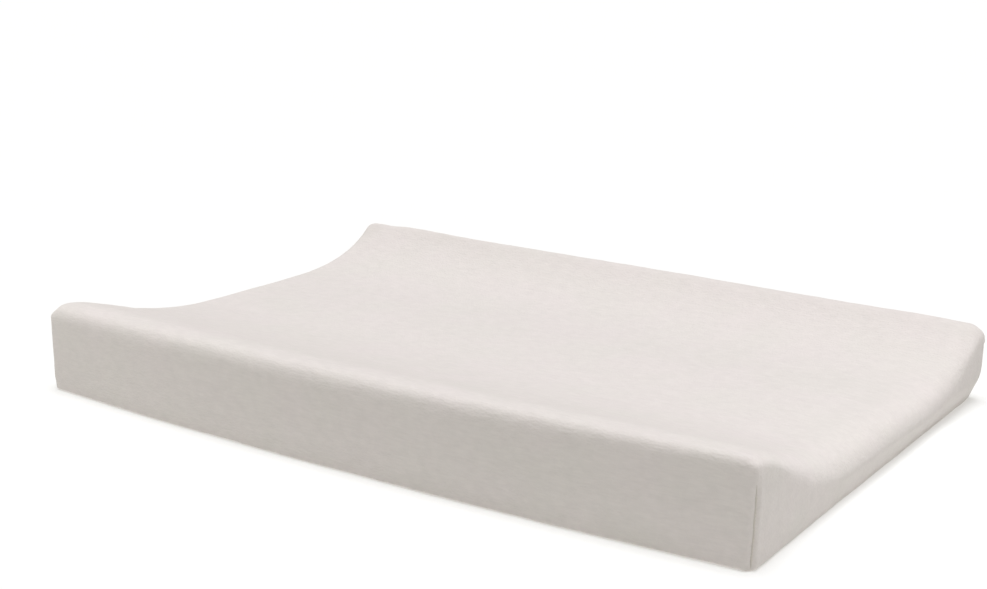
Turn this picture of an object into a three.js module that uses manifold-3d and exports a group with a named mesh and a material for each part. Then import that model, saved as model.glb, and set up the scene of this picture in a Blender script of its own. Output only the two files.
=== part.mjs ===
// A contoured changing pad in a fitted towelling cover.
//
// The foam core is a block with a flat underside. Its top is hollowed along the length, so that both
// long sides stand higher than the middle. A wipe-clean liner, closed by a zip underneath, wraps the
// foam. A fitted cover goes over the liner, turns under all round and is drawn in by elastic.
//
// Millimetres, +Z up. X runs along the pad and Y across it. The origin is the middle of the underside.

import * as THREE from "three";
import { mergeVertices } from "three/addons/utils/BufferGeometryUtils.js";
import Module from "manifold-3d";

const wasm = await Module();
wasm.setup();

// ---------------------------------------------------------------- driving dimensions

const LENGTH = 700;
const CORNER_WIDTH = 450; // across two corners
const SIDE_BOW = 14; // how much further each long side stands out at mid-length
const RIM_HEIGHT = 81; // top of the raised long sides
const TROUGH_HEIGHT = 42; // thickness along the middle
const FLAT_SHARE = 0.17; // the flat middle of the hollow, as a share of the half width
const CREST_SHARE = 0.95; // where the hollow's sides reach the rim
const FRONT_STARTS = 2.2; // power of the hollow's curve where it leaves the flat middle, at the front
const REAR_STARTS = 2.8; // and at the rear, which stays low for longer and then climbs faster
const HOLLOW_ENDS = 1.3; // power of the hollow's curve where it meets the rim
const RIM_DROOP = 8; // how much lower the rear rim is at its right end

const END_ROUND = 16; // how far each rounded edge reaches in from the end faces
const SIDE_ROUND = 12; // and in from the long sides
const TOP_ROUND = 18; // and down from the top
const BOTTOM_ROUND = 8; // and up from the underside

const GAP = 0.4; // clearance between neighbouring layers
const COVER_THICK = 2.4; // towelling, from the tips of its loops to its back
const COVER_FLOOR = 0.2; // the turned-under cloth stays this far above the surface below
const LINER_THICK = 0.9;
const FINE_GAP = 0.3; // clearance between the parts of the zip, and round the elastic and the label
const WELD = 0.5; // how far one shape reaches into the next where they are one piece

// The opening that the elastic draws the cover in to, underneath.
const OPENING = { x: 305, y: 190, radius: 70 };
const CASING_WIDTH = 14; // the hem folded back over the elastic
const TURN_HEIGHT = 10; // where the wall of the cover becomes its turned-under hem
const ELASTIC = { width: 8, thick: 1.2 };
const BASE_MARGIN = 3; // between the hem and the part of the liner that rests on the surface
const LINER_SEAM_HEIGHT = 14; // where the liner's top panel is joined to its base panel

const SEAM_RADIUS = 1.1; // the ridge of a sewn corner
const SEAM_GROOVE_RADIUS = 1.5;

const SEAM_STEPS = 14; // divisions along the ridge
const SEAM_SIDES = 4; // and in each quarter round it
const SEAM_WALL_STEPS = 4; // points that guide it up the wall,
const SEAM_RIM_STEPS = 3; // up to the rim
const SEAM_OVER_STEPS = 2; // and over the rim,
const SEAM_OVER_SHARE = 0.5; // as far as this share of the way to the top

const LABEL = { x: -185, width: 30, length: 40, thick: 0.4, recess: 1, room: 2 };

const ZIP = {
  halfLength: 262, // to the outside of the stops
  tapeHalfLength: 275,
  tapeWidth: 11,
  tapeThick: 0.7,
  coilThick: 2.5,
  coilWidth: 2.6,
  coilStart: 8, // from the outside of the bottom stop
  coilHidden: 2, // how far the joined chain reaches into the slider
  teeth: 62,
  toothReach: 0.6, // past the centre line
  toothTip: 0.16, // half the tooth's width at its tip, as a share of the pitch
  toothRoot: 0.22, // and at its root
  stopLength: 3,
  channelHalfLength: 292,
  channelHalfWidth: 17,
  channelHeight: 6, // the liner is drawn up by this much along the zip
  windowHalfWidth: 6, // the slot between the two base panels
  windowMargin: 4, // how far it reaches past the stops
  tapeRoom: 2, // free space beyond each tape
  endRoom: 1, // and beyond the ends
  sliderRoom: 5.5, // half the width of the groove that the slider runs in
};
const SLIDER = {
  x: 252,
  length: 12,
  frontWidth: 9.2,
  tailWidth: 7.4,
  plate: 1.2,
  rim: 1,
  shoulder: 2.5, // length of the corners cut off its broad end
  cornerCut: 1.5, // and their width
  mouth: 2.9, // half the width of the openings in its two ends
  wedge: { start: 1, end: 4.5, halfWidth: 1.2 },
  bridgeWidth: 2.4,
  bridgeReach: 3.4,
  bridgeBar: 1,
  pivotDrop: 1.3, // from its lower plate to the tab's pin
};
const PULL = {
  length: 24,
  width: 6.6,
  slot: 3.4,
  slotEnd: 8,
  thick: 1.6,
  pinRadius: 0.6,
  pinSides: 10,
  pinPlay: 0.2,
  hole: 1.6,
  holeInset: 0.6, // from the centre of its rounded end
};

// Box divisions: two in each rounded edge, and the rest between them.
const EDGE_STEPS = 2;
const STEPS = { x: 6 + 2 * EDGE_STEPS, y: 12 + 2 * EDGE_STEPS, z: 1 + 2 * EDGE_STEPS };
const ARC_STEPS = 6; // divisions in a quarter of a rounded outline
const MERGE_DISTANCE = 1e-4;

// ---------------------------------------------------------------- worked-out levels

const FLANGE_TOP = COVER_FLOOR + COVER_THICK;
const ELASTIC_BOTTOM = FLANGE_TOP + FINE_GAP;
const ELASTIC_TOP = ELASTIC_BOTTOM + ELASTIC.thick;
const TURNED_BOTTOM = ELASTIC_TOP + FINE_GAP;
const CASING_TOP = TURNED_BOTTOM + COVER_THICK;

const LINER_OUTSIDE = COVER_THICK + GAP;
const LINER_INSIDE = LINER_OUTSIDE + LINER_THICK;
const FOAM_OUTSIDE = LINER_INSIDE + GAP;

const TAPE_BOTTOM = ZIP.channelHeight + LINER_THICK + FINE_GAP;
const TAPE_TOP = TAPE_BOTTOM + ZIP.tapeThick;
const CHAIN_MIDDLE = TAPE_BOTTOM + ZIP.tapeThick / 2;
const COIL_BOTTOM = CHAIN_MIDDLE - ZIP.coilThick / 2;
const COIL_TOP = CHAIN_MIDDLE + ZIP.coilThick / 2;
const LOWER_PLATE_TOP = COIL_BOTTOM - FINE_GAP;
const LOWER_PLATE_BOTTOM = LOWER_PLATE_TOP - SLIDER.plate;
const UPPER_PLATE_BOTTOM = COIL_TOP + FINE_GAP;
const UPPER_PLATE_TOP = UPPER_PLATE_BOTTOM + SLIDER.plate;
const PIVOT_HEIGHT = LOWER_PLATE_BOTTOM - SLIDER.pivotDrop;
const BRIDGE_BAR_TOP = PIVOT_HEIGHT - PULL.pinRadius - PULL.pinPlay;

const BELOW = -5; // cutting shapes start below the underside
const ABOVE = 200; // and end above the rim
const BEYOND_X = 400; // past either end
const BEYOND_Y = 300; // past either long side

// ---------------------------------------------------------------- solids

// A geometry as a manifold solid, with the vertices that its faces share merged.
function solidOf(geometry) {
  const bare = geometry.clone();
  bare.deleteAttribute("normal");
  bare.deleteAttribute("uv");
  const merged = mergeVertices(bare, MERGE_DISTANCE);
  return new wasm.Manifold(
    new wasm.Mesh({
      numProp: 3,
      vertProperties: merged.attributes.position.array,
      triVerts: new Uint32Array(merged.index.array),
    }),
  );
}

function geometryOf(solid) {
  const mesh = solid.getMesh();
  const geometry = new THREE.BufferGeometry();
  geometry.setAttribute("position", new THREE.BufferAttribute(mesh.vertProperties, 3));
  geometry.setIndex(new THREE.BufferAttribute(mesh.triVerts, 1));
  const faceted = geometry.toNonIndexed();
  faceted.computeVertexNormals();
  return faceted;
}

const join = (first, ...rest) => rest.reduce((whole, solid) => whole.add(solid), first);
const cut = (first, ...rest) => rest.reduce((whole, solid) => whole.subtract(solid), first);

function box([x0, x1], [y0, y1], [z0, z1]) {
  const geometry = new THREE.BoxGeometry(x1 - x0, y1 - y0, z1 - z0);
  geometry.translate((x0 + x1) / 2, (y0 + y1) / 2, (z0 + z1) / 2);
  return solidOf(geometry);
}

// A flat outline in X and Y, raised from z0 to z1.
function prism(shape, z0, z1) {
  const options = { depth: z1 - z0, bevelEnabled: false, curveSegments: ARC_STEPS };
  const geometry = new THREE.ExtrudeGeometry(shape, options);
  geometry.translate(0, 0, z0);
  return solidOf(geometry);
}

function roundedRectangle(halfX, halfY, radius) {
  const shape = new THREE.Shape();
  shape.moveTo(radius - halfX, -halfY);
  shape.absarc(halfX - radius, radius - halfY, radius, -Math.PI / 2, 0, false);
  shape.absarc(halfX - radius, halfY - radius, radius, 0, Math.PI / 2, false);
  shape.absarc(radius - halfX, halfY - radius, radius, Math.PI / 2, Math.PI, false);
  shape.absarc(radius - halfX, radius - halfY, radius, Math.PI, 1.5 * Math.PI, false);
  return shape;
}

// A prism on the outline of the cover's opening, moved outwards by margin.
function openingPrism(margin, z0, z1) {
  const { x, y, radius } = OPENING;
  return prism(roundedRectangle(x + margin, y + margin, radius + margin), z0, z1);
}

// The band between two such outlines.
function openingBand(inner, outer, z0, z1) {
  return cut(openingPrism(outer, z0, z1), openingPrism(inner, z0 - 1, z1 + 1));
}

// The part of a solid between two limits across, and two in height.
function between(solid, across, heights) {
  return solid.intersect(box([-BEYOND_X, BEYOND_X], across, heights));
}

const above = (solid, z) => between(solid, [-BEYOND_Y, BEYOND_Y], [z, ABOVE]);
const below = (solid, z) => between(solid, [-BEYOND_Y, BEYOND_Y], [BELOW, z]);

// ---------------------------------------------------------------- the contoured form

const sideBow = (x) => SIDE_BOW * (1 - (x / (LENGTH / 2)) ** 2);

// Height of the top before its edges are rounded. The rear rim droops towards the right end.
function topHeight(x, y) {
  const share = Math.abs(y) / (CORNER_WIDTH / 2 + sideBow(x));
  const climb = THREE.MathUtils.clamp((share - FLAT_SHARE) / (CREST_SHARE - FLAT_SHARE), 0, 1);
  const rise = 1 - (1 - climb ** (y > 0 ? REAR_STARTS : FRONT_STARTS)) ** HOLLOW_ENDS;
  const fromRight = 0.5 - x / LENGTH;
  const droop = RIM_DROOP * (1 - fromRight ** 2) * THREE.MathUtils.smoothstep(y, 0, CORNER_WIDTH / 2);
  return TROUGH_HEIGHT + (RIM_HEIGHT - TROUGH_HEIGHT) * rise - droop;
}

// A point on the form. flat holds a place between the rounded edges, from -1 to 1 along each axis,
// and lean the direction in which the surface is pushed out from there.
function formPoint(flat, lean, inset, floor) {
  const out = lean.clone().normalize();
  const roundX = END_ROUND - inset;
  const roundY = SIDE_ROUND - inset;
  const halfX = LENGTH / 2 - inset;
  const halfY = CORNER_WIDTH / 2 - inset;
  const x = flat.x * (halfX - roundX) + out.x * roundX;
  const straightY = flat.y * (halfY - roundY) + out.y * roundY;
  const y = straightY * (1 + sideBow(x) / halfY);
  const roundTop = TOP_ROUND - inset;
  const roundBottom = BOTTOM_ROUND - inset;
  const low = floor + roundBottom;
  const high = topHeight(x, y) - inset - roundTop;
  const reach = out.z > 0 ? roundTop : roundBottom;
  const z = THREE.MathUtils.lerp(low, high, (flat.z + 1) / 2) + out.z * reach;
  return new THREE.Vector3(x, y, z);
}

// Splits a box coordinate from -1 to 1 into its place between the edges and its lean over an edge.
function splitCoordinate(coordinate, steps) {
  const step = (Math.abs(coordinate) * steps) / 2;
  const straight = steps / 2 - EDGE_STEPS;
  const side = Math.sign(coordinate);
  if (step <= straight) return { flat: (side * step) / straight, lean: 0 };
  return { flat: side, lean: side * Math.tan(((step - straight) / EDGE_STEPS) * (Math.PI / 4)) };
}

// The whole form, drawn in by inset on its top and sides, with its underside at floor.
function form(inset, floor) {
  const geometry = new THREE.BoxGeometry(2, 2, 2, STEPS.x, STEPS.y, STEPS.z);
  const position = geometry.attributes.position;
  for (let i = 0; i < position.count; i++) {
    const x = splitCoordinate(position.getX(i), STEPS.x);
    const y = splitCoordinate(position.getY(i), STEPS.y);
    const z = splitCoordinate(position.getZ(i), STEPS.z);
    const flat = new THREE.Vector3(x.flat, y.flat, z.flat);
    const lean = new THREE.Vector3(x.lean, y.lean, z.lean);
    const point = formPoint(flat, lean, inset, floor);
    position.setXYZ(i, point.x, point.y, point.z);
  }
  return solidOf(geometry);
}

// ---------------------------------------------------------------- the pad inside the cover

// The liner or the foam: the form with a lower base that rests on the surface, grooved for the hem's
// casing, the label and the zip. grow is how far this layer lies inside the liner's outer face.
function padLayer(inset) {
  const grow = inset - LINER_OUTSIDE;
  const casing = openingBand(
    -BASE_MARGIN - grow,
    CASING_WIDTH + BASE_MARGIN + grow,
    BELOW,
    CASING_TOP + GAP + grow,
  );
  const channel = box(
    [-ZIP.channelHalfLength - grow, ZIP.channelHalfLength + grow],
    [-ZIP.channelHalfWidth - grow, ZIP.channelHalfWidth + grow],
    [BELOW, ZIP.channelHeight + grow],
  );
  const labelHalf = LABEL.width / 2 + LABEL.room + grow;
  const labelRecess = box(
    [LABEL.x - labelHalf, LABEL.x + labelHalf],
    [OPENING.y - LABEL.length - LABEL.room - grow, OPENING.y],
    [BELOW, LABEL.recess + grow],
  );
  const body = form(inset, FLANGE_TOP + GAP + grow);
  const base = openingPrism(-BASE_MARGIN - grow, grow, TURN_HEIGHT);
  return cut(join(body, base), casing, channel, labelRecess);
}

// The foam has a wide groove for the zip's tapes, and a deeper one for the slider.
function makeFoam() {
  const tapeX = ZIP.tapeHalfLength + ZIP.endRoom;
  const tapeY = ZIP.tapeWidth + ZIP.coilWidth + ZIP.tapeRoom;
  const sliderX = ZIP.halfLength + ZIP.endRoom;
  return cut(
    padLayer(FOAM_OUTSIDE),
    box([-tapeX, tapeX], [-tapeY, tapeY], [BELOW, TAPE_TOP + GAP]),
    box([-sliderX, sliderX], [-ZIP.sliderRoom, ZIP.sliderRoom], [BELOW, UPPER_PLATE_TOP + GAP]),
  );
}

function makeLiner() {
  const skin = cut(padLayer(LINER_OUTSIDE), padLayer(LINER_INSIDE));
  const windowHalfLength = ZIP.halfLength + ZIP.windowMargin;
  const window = box(
    [-windowHalfLength, windowHalfLength],
    [-ZIP.windowHalfWidth, ZIP.windowHalfWidth],
    [BELOW, LINER_SEAM_HEIGHT],
  );
  const base = cut(below(skin, LINER_SEAM_HEIGHT), window);
  return {
    liner_top: above(skin, LINER_SEAM_HEIGHT + GAP),
    liner_base_front: between(base, [-BEYOND_Y, -GAP / 2], [BELOW, ABOVE]),
    liner_base_rear: between(base, [GAP / 2, BEYOND_Y], [BELOW, ABOVE]),
  };
}

// ---------------------------------------------------------------- the zip

// One side of the chain. Each tooth reaches past the centre line, between two of the other side's.
function makeCoil(side) {
  const start = ZIP.coilStart - ZIP.halfLength;
  const end = SLIDER.x - ZIP.coilHidden;
  const pitch = (end - start) / (ZIP.teeth + 0.5);
  const phase = side > 0 ? 0.25 : 0.75;
  const root = side * (ZIP.toothReach + FINE_GAP);
  const tip = -side * ZIP.toothReach;
  const shape = new THREE.Shape();
  shape.moveTo(start, side * ZIP.coilWidth);
  shape.lineTo(start, root);
  for (let tooth = 0; tooth < ZIP.teeth; tooth++) {
    const middle = start + (tooth + phase) * pitch;
    shape.lineTo(middle - ZIP.toothRoot * pitch, root);
    shape.lineTo(middle - ZIP.toothTip * pitch, tip);
    shape.lineTo(middle + ZIP.toothTip * pitch, tip);
    shape.lineTo(middle + ZIP.toothRoot * pitch, root);
  }
  shape.lineTo(end, root);
  shape.lineTo(end, side * ZIP.coilWidth);
  return prism(shape, COIL_BOTTOM, COIL_TOP);
}

function makeTape(side) {
  const near = ZIP.coilWidth + FINE_GAP;
  const far = near + ZIP.tapeWidth;
  return box(
    [-ZIP.tapeHalfLength, ZIP.tapeHalfLength],
    side > 0 ? [near, far] : [-far, -near],
    [TAPE_BOTTOM, TAPE_TOP],
  );
}

function makeTopStop(side) {
  const near = ZIP.toothReach;
  const far = ZIP.coilWidth;
  return box(
    [ZIP.halfLength - ZIP.stopLength, ZIP.halfLength],
    side > 0 ? [near, far] : [-far, -near],
    [COIL_BOTTOM, COIL_TOP],
  );
}

function makeBottomStop() {
  return box(
    [-ZIP.halfLength, ZIP.stopLength - ZIP.halfLength],
    [-ZIP.coilWidth, ZIP.coilWidth],
    [COIL_BOTTOM, COIL_TOP],
  );
}

// The slider's outline, about its own centre: broad where the two sides enter, narrow at the tail.
function sliderOutline(shrink) {
  const half = SLIDER.length / 2;
  const front = SLIDER.frontWidth / 2 - shrink;
  const tail = SLIDER.tailWidth / 2 - shrink;
  const shape = new THREE.Shape();
  shape.moveTo(-half, -tail);
  shape.lineTo(0, -tail);
  shape.lineTo(half - SLIDER.shoulder, -front);
  shape.lineTo(half, SLIDER.cornerCut - front);
  shape.lineTo(half, front - SLIDER.cornerCut);
  shape.lineTo(half - SLIDER.shoulder, front);
  shape.lineTo(0, tail);
  shape.lineTo(-half, tail);
  return shape;
}

// Two plates that hold the chain between them, joined by the wedge that parts it.
function makeSlider() {
  const reach = SLIDER.length;
  const lower = prism(sliderOutline(0), LOWER_PLATE_BOTTOM, TAPE_BOTTOM - FINE_GAP);
  const upper = prism(sliderOutline(0), TAPE_TOP + FINE_GAP, UPPER_PLATE_TOP);
  const passage = prism(sliderOutline(SLIDER.rim), LOWER_PLATE_TOP, UPPER_PLATE_BOTTOM);
  const { mouth } = SLIDER;
  const ends = box([-reach, reach], [-mouth, mouth], [LOWER_PLATE_TOP, UPPER_PLATE_BOTTOM]);
  const { start, end, halfWidth } = SLIDER.wedge;
  const wedgeHeights = [LOWER_PLATE_TOP - WELD, UPPER_PLATE_BOTTOM + WELD];
  const wedge = box([start, end], [-halfWidth, halfWidth], wedgeHeights);
  const bridgeHalf = SLIDER.bridgeWidth / 2;
  const bridge = cut(
    box(
      [-SLIDER.bridgeReach, SLIDER.bridgeReach],
      [-bridgeHalf, bridgeHalf],
      [BRIDGE_BAR_TOP - SLIDER.bridgeBar, LOWER_PLATE_BOTTOM + WELD],
    ),
    box(
      [SLIDER.bridgeBar - SLIDER.bridgeReach, SLIDER.bridgeReach - SLIDER.bridgeBar],
      [-reach, reach],
      [BRIDGE_BAR_TOP, LOWER_PLATE_BOTTOM],
    ),
  );
  return join(cut(join(lower, upper), passage, ends), wedge, bridge);
}

// A flat tab, forked round the slider's bridge, with the pin that it turns on across the fork.
function makePull() {
  const half = PULL.width / 2;
  const back = -PULL.thick / 2;
  const shape = new THREE.Shape();
  shape.moveTo(back, -half);
  shape.lineTo(PULL.length - half, -half);
  shape.absarc(PULL.length - half, 0, half, -Math.PI / 2, Math.PI / 2, false);
  shape.lineTo(back, half);
  shape.lineTo(back, PULL.slot / 2);
  shape.lineTo(PULL.slotEnd, PULL.slot / 2);
  shape.lineTo(PULL.slotEnd, -PULL.slot / 2);
  shape.lineTo(back, -PULL.slot / 2);
  const hole = new THREE.Path();
  hole.absarc(PULL.length - half - PULL.holeInset, 0, PULL.hole, 0, 2 * Math.PI, true);
  shape.holes.push(hole);
  const tab = prism(shape, -PULL.thick / 2, PULL.thick / 2);
  const pinLength = PULL.slot + 2 * WELD;
  const pin = new THREE.CylinderGeometry(PULL.pinRadius, PULL.pinRadius, pinLength, PULL.pinSides);
  return join(tab, solidOf(pin));
}

// ---------------------------------------------------------------- the fitted cover

// The edge of the form at one corner, from the hem up and over the rim.
function cornerPath(endSide, longSide) {
  const flat = new THREE.Vector3(endSide, longSide, 0);
  const lean = new THREE.Vector3(endSide, longSide, 0);
  const points = [];
  for (let step = 0; step <= SEAM_WALL_STEPS; step++) {
    flat.z = (2 * step) / SEAM_WALL_STEPS - 1;
    points.push(formPoint(flat, lean, 0, COVER_FLOOR));
  }
  points[0].z = TURN_HEIGHT + SEAM_RADIUS;
  for (let step = 1; step <= SEAM_RIM_STEPS; step++) {
    lean.z = step / SEAM_RIM_STEPS;
    points.push(formPoint(flat, lean, 0, COVER_FLOOR));
  }
  for (let step = 1; step <= SEAM_OVER_STEPS; step++) {
    const spread = 1 - (SEAM_OVER_SHARE * step) / SEAM_OVER_STEPS;
    lean.set(endSide * spread, longSide * spread, 1);
    points.push(formPoint(flat, lean, 0, COVER_FLOOR));
  }
  return new THREE.CatmullRomCurve3(points);
}

function cordAlong(path, radius) {
  const section = new THREE.Shape();
  section.absarc(0, 0, radius, 0, 2 * Math.PI, false);
  const options = { extrudePath: path, steps: SEAM_STEPS, curveSegments: SEAM_SIDES, bevelEnabled: false };
  return solidOf(new THREE.ExtrudeGeometry(section, options));
}

function makeCover(cornerPaths) {
  const opening = openingPrism(0, BELOW, TURN_HEIGHT);
  const cloth = cut(form(0, COVER_FLOOR), form(COVER_THICK, FLANGE_TOP), opening);
  const grooves = cornerPaths.map((path) => cordAlong(path, SEAM_GROOVE_RADIUS));
  const fold = openingBand(0, COVER_THICK, COVER_FLOOR, CASING_TOP);
  const turnedBack = openingBand(0, CASING_WIDTH, TURNED_BOTTOM, CASING_TOP);
  return {
    terry_cover: cut(above(cloth, TURN_HEIGHT), ...grooves),
    cover_hem: join(below(cloth, TURN_HEIGHT - FINE_GAP), fold, turnedBack),
  };
}

function makeElastic() {
  const inner = COVER_THICK + GAP;
  return openingBand(inner, inner + ELASTIC.width, ELASTIC_BOTTOM, ELASTIC_TOP);
}

function makeLabel() {
  const far = OPENING.y - FINE_GAP;
  return box(
    [LABEL.x - LABEL.width / 2, LABEL.x + LABEL.width / 2],
    [far - LABEL.length, far],
    [COVER_FLOOR, COVER_FLOOR + LABEL.thick],
  );
}

// ---------------------------------------------------------------- materials

const material = (color, roughness, metalness = 0) =>
  new THREE.MeshStandardMaterial({ color, roughness, metalness });
const towelling = () => material(0xe6ddd3, 1);
const sewnTowelling = () => material(0xcfc5b8, 1);
const foam = () => material(0xf0e6c2, 0.95);
const wipeCleanFilm = () => material(0xf3f4f2, 0.4);
const zipNylon = () => material(0xe9e8e4, 0.55);
const zipMetal = () => material(0xa9abad, 0.3, 1);
const elasticWebbing = () => material(0xf1efe9, 0.8);
const satinRibbon = () => material(0xf7f6f3, 0.5);

// ---------------------------------------------------------------- the assembly

const changingPad = new THREE.Group();

function addPiece(parent, name, solid, look) {
  const mesh = new THREE.Mesh(geometryOf(solid), look);
  mesh.name = name;
  parent.add(mesh);
  return mesh;
}

const pad = new THREE.Group();
addPiece(pad, "foam_core", makeFoam(), foam());
for (const [name, solid] of Object.entries(makeLiner())) {
  addPiece(pad, name, solid, wipeCleanFilm());
}

const zip = new THREE.Group();
for (const [name, side] of [["front", -1], ["rear", 1]]) {
  addPiece(zip, `zip_tape_${name}`, makeTape(side), zipNylon());
  addPiece(zip, `zip_coil_${name}`, makeCoil(side), zipNylon());
  addPiece(zip, `zip_top_stop_${name}`, makeTopStop(side), zipMetal());
}
addPiece(zip, "zip_bottom_stop", makeBottomStop(), zipMetal());

const slider = new THREE.Group();
slider.position.x = SLIDER.x;
addPiece(slider, "zip_slider", makeSlider(), zipMetal());
addPiece(slider, "zip_pull", makePull(), zipMetal()).position.z = PIVOT_HEIGHT;
zip.add(slider);
pad.add(zip);

const cover = new THREE.Group();
const corners = { front_left: [-1, -1], front_right: [1, -1], rear_left: [-1, 1], rear_right: [1, 1] };
const cornerPaths = Object.values(corners).map(([endSide, longSide]) => cornerPath(endSide, longSide));
for (const [name, solid] of Object.entries(makeCover(cornerPaths))) {
  addPiece(cover, name, solid, towelling());
}
Object.keys(corners).forEach((name, i) => {
  addPiece(cover, `corner_seam_${name}`, cordAlong(cornerPaths[i], SEAM_RADIUS), sewnTowelling());
});
addPiece(cover, "hem_elastic", makeElastic(), elasticWebbing());
addPiece(cover, "care_label", makeLabel(), satinRibbon());

changingPad.add(pad, cover);

export default changingPad;
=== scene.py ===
"""A contoured changing pad in a fitted towelling cover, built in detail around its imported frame.

The cover's cloth is swelled out by the foam inside it with a cloth simulation, then gets its fine surface,
its sewn corners and its elasticated hem. Under it are the wipe-clean liner with its zip, and the foam core.

Metres, in the frame's own axes: +X along the pad, +Y across it, +Z up from the surface it lies on.
"""
import math

import bmesh
import bpy
import numpy as np
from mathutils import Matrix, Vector, noise
from mathutils.bvhtree import BVHTree


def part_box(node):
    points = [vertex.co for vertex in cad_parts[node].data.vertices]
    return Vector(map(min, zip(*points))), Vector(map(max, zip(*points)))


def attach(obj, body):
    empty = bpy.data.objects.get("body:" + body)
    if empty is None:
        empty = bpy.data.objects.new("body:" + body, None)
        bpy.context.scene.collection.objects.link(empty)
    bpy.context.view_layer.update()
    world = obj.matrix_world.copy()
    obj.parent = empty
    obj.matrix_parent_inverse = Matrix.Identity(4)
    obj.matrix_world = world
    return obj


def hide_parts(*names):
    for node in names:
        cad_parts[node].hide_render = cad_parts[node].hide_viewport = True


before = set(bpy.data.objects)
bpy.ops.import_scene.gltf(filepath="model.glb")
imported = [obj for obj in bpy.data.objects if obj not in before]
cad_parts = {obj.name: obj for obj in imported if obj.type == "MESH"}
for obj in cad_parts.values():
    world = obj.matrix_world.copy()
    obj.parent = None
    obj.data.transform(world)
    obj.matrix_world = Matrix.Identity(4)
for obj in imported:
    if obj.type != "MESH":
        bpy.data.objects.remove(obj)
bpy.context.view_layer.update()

MM = 0.001

# ---------------------------------------------------------------- sizes

COVER_LOW, COVER_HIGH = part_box("terry_cover")
ELASTIC_LOW, ELASTIC_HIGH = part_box("hem_elastic")
LABEL_LOW, LABEL_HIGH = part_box("care_label")
TAPE_LOW, TAPE_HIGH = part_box("zip_tape_rear")
COIL_LOW, COIL_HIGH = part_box("zip_coil_rear")

LENGTH = COVER_HIGH.x - COVER_LOW.x
CAD_SIDE_BOW = 14 * MM
CORNER_WIDTH = COVER_HIGH.y - COVER_LOW.y - 2 * CAD_SIDE_BOW
SIDE_BOW = 12 * MM  # how much further each long side stands out at mid-length
SIDE_FULLNESS = 3.5 * MM  # how far the soft sides stand out beyond the foam's own size
END_FULLNESS = 2 * MM  # the same, for the right end
SKEW = 3.5 * MM  # the front stands out more to the left, and the rear to the right
END_DRAW = 9 * MM  # how far the right end's foot is drawn in at the rear
DRAW_HEIGHT = 28 * MM
RIM_SINK = 0.8 * MM  # how far the rims sink as the pad fills its cover
RIM_HEIGHT = COVER_HIGH.z - RIM_SINK
FLAT_SHARE = 0.17  # the flat middle of the hollow, as a share of the half width
CREST_SHARE = 0.95  # where the hollow's sides reach the rim
FRONT_STARTS = 2.2  # powers of the hollow's curve as it leaves the flat middle
REAR_STARTS = 3.2
FRONT_ENDS = 1.3  # and as it meets the rim
REAR_ENDS = 1.0
HOLLOW_SHIFT = 15 * MM  # how much nearer the rear the hollow lies at the left end
RIM_DROOP = 10 * MM  # how much lower the rear rim is at its right end
DROOP_POWER = 2

END_ROUND = 15 * MM  # how far the rounded edges reach in from the ends
SIDE_ROUND = 10.5 * MM  # and in from the long sides
TOP_ROUND = 12.5 * MM  # and down from the top
BOTTOM_ROUND = 3 * MM  # and up from the underside
BOTTOM_REACH = 3.5 * MM  # how far the bottom edges reach in
CORNER_ROUND = 5 * MM  # of the upright corners, seen from above
LEAST_ROUND = 1 * MM  # of any edge of the layers inside
LEFT_SOFTNESS = 0.2  # how much rounder the top's edge is at the front left corner
RIGHT_SOFTNESS = -0.3  # at the front right corner
END_SOFTNESS = 1.1  # in the middle of the right end
FAR_SOFTNESS = -0.5  # and in the middle of the left end
MOST_SOFTNESS = 1.7  # the most of it by which the rounding also reaches further down

# How far the bottom corners are drawn in, by the end (-1 left) and the side (-1 front) that they are on.
CORNERS = {"front_left": (-1, -1), "front_right": (1, -1), "rear_left": (-1, 1), "rear_right": (1, 1)}
CORNER_TUCK = {"front_left": 8 * MM, "front_right": 6 * MM, "rear_left": 16 * MM, "rear_right": 10 * MM}
TUCK_SOFTNESS = 5 * MM  # how far the drawn-in part blends into the rest
TUCK_POWER = 1.05
TUCK_INSET = 1.8  # how much further in the layers inside are drawn, as a share of their inset
TUCK_SPREAD = 0.25  # how much of their spacing the drawn-in points keep

COVER_THICK = 2.4 * MM
HEM_THICK_SHARE = 0.6  # the turned-under cloth is pressed thinner
LINER_INSET = 4.6 * MM  # from the cover's outer face to the liner's
LINER_THICK = 0.9 * MM
LINER_SEAM_HEIGHT = 14 * MM
FOAM_INSET = 6.8 * MM
FOAM_WEAR = 0.5 * MM  # how uneven the foam's surface is
PIPING_RADIUS = 1.3 * MM
PIPING_INSET = 0.8 * MM  # of its middle, from the liner's outer face

CASING_WIDTH = 14 * MM
CASING_MARGIN = 3 * MM  # room round the casing in the liner's base
CASING_ROOF = 7.1 * MM
HEM_ROOF = 2.9 * MM  # the liner's underside above the turned-under cloth
ELASTIC_EDGE = 2.8 * MM  # from the opening's edge to the elastic inside the casing
ELASTIC_WIDTH = 8 * MM
ELASTIC_THICK = ELASTIC_HIGH.z - ELASTIC_LOW.z
OPENING_X = ELASTIC_HIGH.x - ELASTIC_EDGE - ELASTIC_WIDTH
OPENING_Y = ELASTIC_HIGH.y - ELASTIC_EDGE - ELASTIC_WIDTH
OPENING_RADIUS = 70 * MM

CHANNEL_X = 292 * MM  # half of the zip's channel in the liner's base
CHANNEL_Y = 17 * MM
CHANNEL_HEIGHT = 6 * MM
SLOT_X = 266 * MM  # half of the slot that the zip closes
SLOT_Y = 6 * MM
TAPE_ROOF = TAPE_HIGH.z + 0.6 * MM  # of the foam above the zip's tapes
SLIDER_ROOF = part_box("zip_slider")[1].z + 0.6 * MM  # and above the slider
LABEL_PRESS = 1.1 * MM  # how far the label presses up what lies on it
PRESS_ROOM = 14 * MM  # how far round the label that reaches
PRESS_FLAT = 3 * MM  # and how much of that is pressed all the way

GRID = 8 * MM  # side of a square in the cloth's mesh, before its one subdivision


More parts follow.
